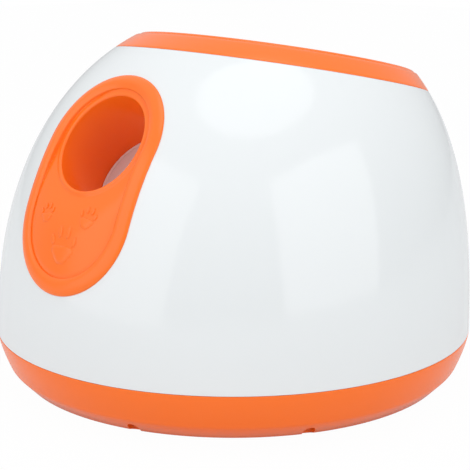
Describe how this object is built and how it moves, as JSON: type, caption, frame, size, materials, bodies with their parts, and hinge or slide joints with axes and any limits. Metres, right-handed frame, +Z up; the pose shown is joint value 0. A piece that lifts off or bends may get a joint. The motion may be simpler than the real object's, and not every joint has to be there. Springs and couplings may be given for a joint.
{
  "type": "automatic ball launcher",
  "caption": "Automatic ball launcher for dogs: domed housing, hopper on top, slanted launch port in front, and a motor-driven spring plunger that fires the ball.",
  "frame": {"origin": "on the floor under the housing, at the middle of the overall size", "axes": "+Z up, -Y out of the launch port, X across; the hopper's low side and the control panel are at +Y"},
  "size_m": [0.275, 0.2774, 0.2032],
  "materials": {
    "white_abs": "glossy",
    "orange_abs": "satin gloss",
    "frosted_plastic": "frosted",
    "pad_plastic": "frosted with a smooth rim",
    "gear_plastic": "moulded acetal",
    "black_plastic": "moulded",
    "grey_plastic": "moulded",
    "spring_steel": "drawn wire",
    "plain_steel": "zinc plated",
    "motor_can": "nickel plated",
    "bronze": "sintered",
    "foot_rubber": "matte",
    "stop_rubber": "matte",
    "board_green": "solder resist",
    "cell_jacket": "printed jacket, unmarked",
    "contact_plate": "nickel plated",
    "lens_clear": "clear",
    "led_green": "tinted",
    "button_grey": "satin",
    "sensor_dark": "infrared tint"
  },
  "bodies": {
    "housing": {"base_tray": "orange_abs", "dome_shell": "white_abs", "hopper_funnel": "orange_abs", "port_bezel": "orange_abs", "launch_tube": "orange_abs", "tube_rear_cap": "orange_abs", "launch_spring": "spring_steel", "rack_buffer": "stop_rubber", "tube_screws": "plain_steel", "tube_cradle": "orange_abs", "gear_pins": "plain_steel", "gearbox_left_plate": "grey_plastic", "gearbox_right_plate": "grey_plastic", "gearbox_posts": "grey_plastic", "gearbox_screws": "plain_steel", "shaft_bushes": "bronze", "motor": "motor_can", "motor_end": "black_plastic", "motor_screws": "plain_steel", "battery_box": "black_plastic", "battery_cells": "cell_jacket", "battery_contacts": "contact_plate", "control_panel": "orange_abs", "indicator_lenses": "lens_clear", "indicator_leds": "led_green", "control_board": "board_green", "tact_switches": "black_plastic", "dc_jack": "black_plastic", "board_screws": "plain_steel", "housing_screws": "plain_steel", "rubber_feet": "foot_rubber", "sensor_emitter": "sensor_dark", "sensor_receiver": "sensor_dark"},
    "sector": {"sector_gear": "gear_plastic", "output_shaft": "plain_steel"},
    "plunger": {"piston": "frosted_plastic", "piston_pad": "pad_plastic"},
    "idler_a": {"idler_gear_a": "gear_plastic"},
    "idler_b": {"idler_gear_b": "gear_plastic"},
    "rotor": {"motor_pinion": "bronze", "motor_shaft": "plain_steel"},
    "power_key": {"power_button": "button_grey"},
    "distance_key": {"distance_button": "button_grey"},
    "door": {"battery_door": "orange_abs"}
  },
  "joints": [
    {"name": "sector_turn", "type": "hinge", "parent": "housing", "child": "sector", "pos_m": [0, -0.05771, 0.04077], "axis": [-1, 0, 0], "range_deg": [0, 160]},
    {"name": "plunger_draw", "type": "slide", "parent": "housing", "child": "plunger", "axis": [0, 0.7576, -0.6528], "range_m": [0, 0.0615], "deforming": ["launch_spring"]},
    {"name": "idler_a_turn", "type": "hinge", "parent": "housing", "child": "idler_a", "pos_m": [0, -0.08369, 0.05577], "axis": [-1, 0, 0], "range_deg": [-640.5, 0.5]},
    {"name": "idler_b_turn", "type": "hinge", "parent": "housing", "child": "idler_b", "pos_m": [0, -0.09292, 0.0304], "axis": [-1, 0, 0], "range_deg": [-0.5, 2240.5]},
    {"name": "rotor_turn", "type": "hinge", "parent": "housing", "child": "rotor", "pos_m": [0, -0.07105, 0.02329], "axis": [-1, 0, 0], "range_deg": [-8065, 1]},
    {"name": "power_press", "type": "slide", "parent": "housing", "child": "power_key", "axis": [0, -1, 0], "range_m": [0, 0.0012], "stiffness_N_per_m": 600, "springref_m": -0.0005},
    {"name": "distance_press", "type": "slide", "parent": "housing", "child": "distance_key", "axis": [0, -1, 0], "range_m": [0, 0.0012], "stiffness_N_per_m": 600, "springref_m": -0.0005},
    {"name": "door_swing", "type": "hinge", "parent": "housing", "child": "door", "pos_m": [0, 0.03983, 0.003], "axis": [-1, 0, 0], "range_deg": [0, 90]}
  ],
  "couplings": [
    {"joint": "plunger_draw", "follows": "sector_turn", "m_per_rad": 0.022},
    {"joint": "idler_a_turn", "follows": "sector_turn", "ratio": -4},
    {"joint": "idler_b_turn", "follows": "sector_turn", "ratio": 14},
    {"joint": "rotor_turn", "follows": "sector_turn", "ratio": -50.4}
  ]
}
